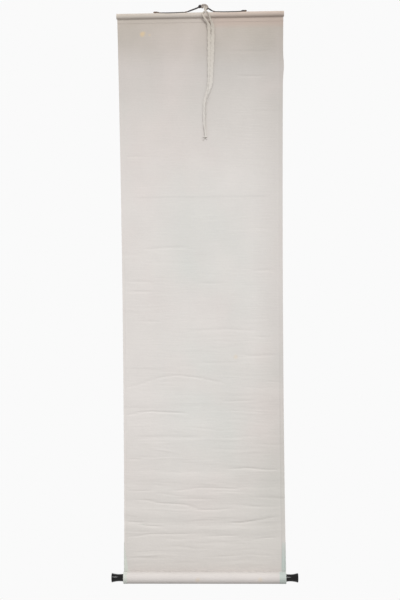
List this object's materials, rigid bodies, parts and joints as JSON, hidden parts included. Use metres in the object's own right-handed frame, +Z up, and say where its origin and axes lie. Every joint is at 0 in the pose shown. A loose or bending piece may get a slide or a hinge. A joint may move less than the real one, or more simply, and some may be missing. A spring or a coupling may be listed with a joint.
{
  "type": "paper scroll",
  "caption": "Hanging scroll: silk-framed picture panel on creased backing paper, with a half-round stave and cord at the top and a knobbed roller at the bottom.",
  "frame": {"origin": "where the nail carries the hanging cord: the point of the cord's underside that rests on the nail", "axes": "+Z up along the hanging sheet, +X along the stave to the right as one looks at the paper back, +Y towards the picture side"},
  "size_m": [0.4592, 0.0322, 1.4228],
  "materials": {
    "backing_paper": "matt, aged, creased",
    "green_silk": "pale sea-green damask, soft sheen",
    "border_silk": "sea-green silk, frayed and worn",
    "panel_paper": "matt, aged, blank",
    "stave_wood": "bare softwood",
    "roller_wood": "bare softwood",
    "knob_lacquer": "gloss black lacquer",
    "eye_copper": "dull darkened copper",
    "brown_cord": "braided, matt",
    "beige_tape": "woven tape, soft, faded"
  },
  "bodies": {
    "root": {"backing_sheet": "backing_paper", "top_silk": "green_silk", "bottom_silk": "green_silk", "left_border": "border_silk", "right_border": "border_silk", "picture_panel": "panel_paper", "top_stave": "stave_wood", "roller": "roller_wood", "roller_knobs": "knob_lacquer", "left_outer_eye": "eye_copper", "left_inner_eye": "eye_copper", "right_inner_eye": "eye_copper", "right_outer_eye": "eye_copper", "hanging_cord": "brown_cord", "tie_cord": "beige_tape"}
  },
  "joints": []
}
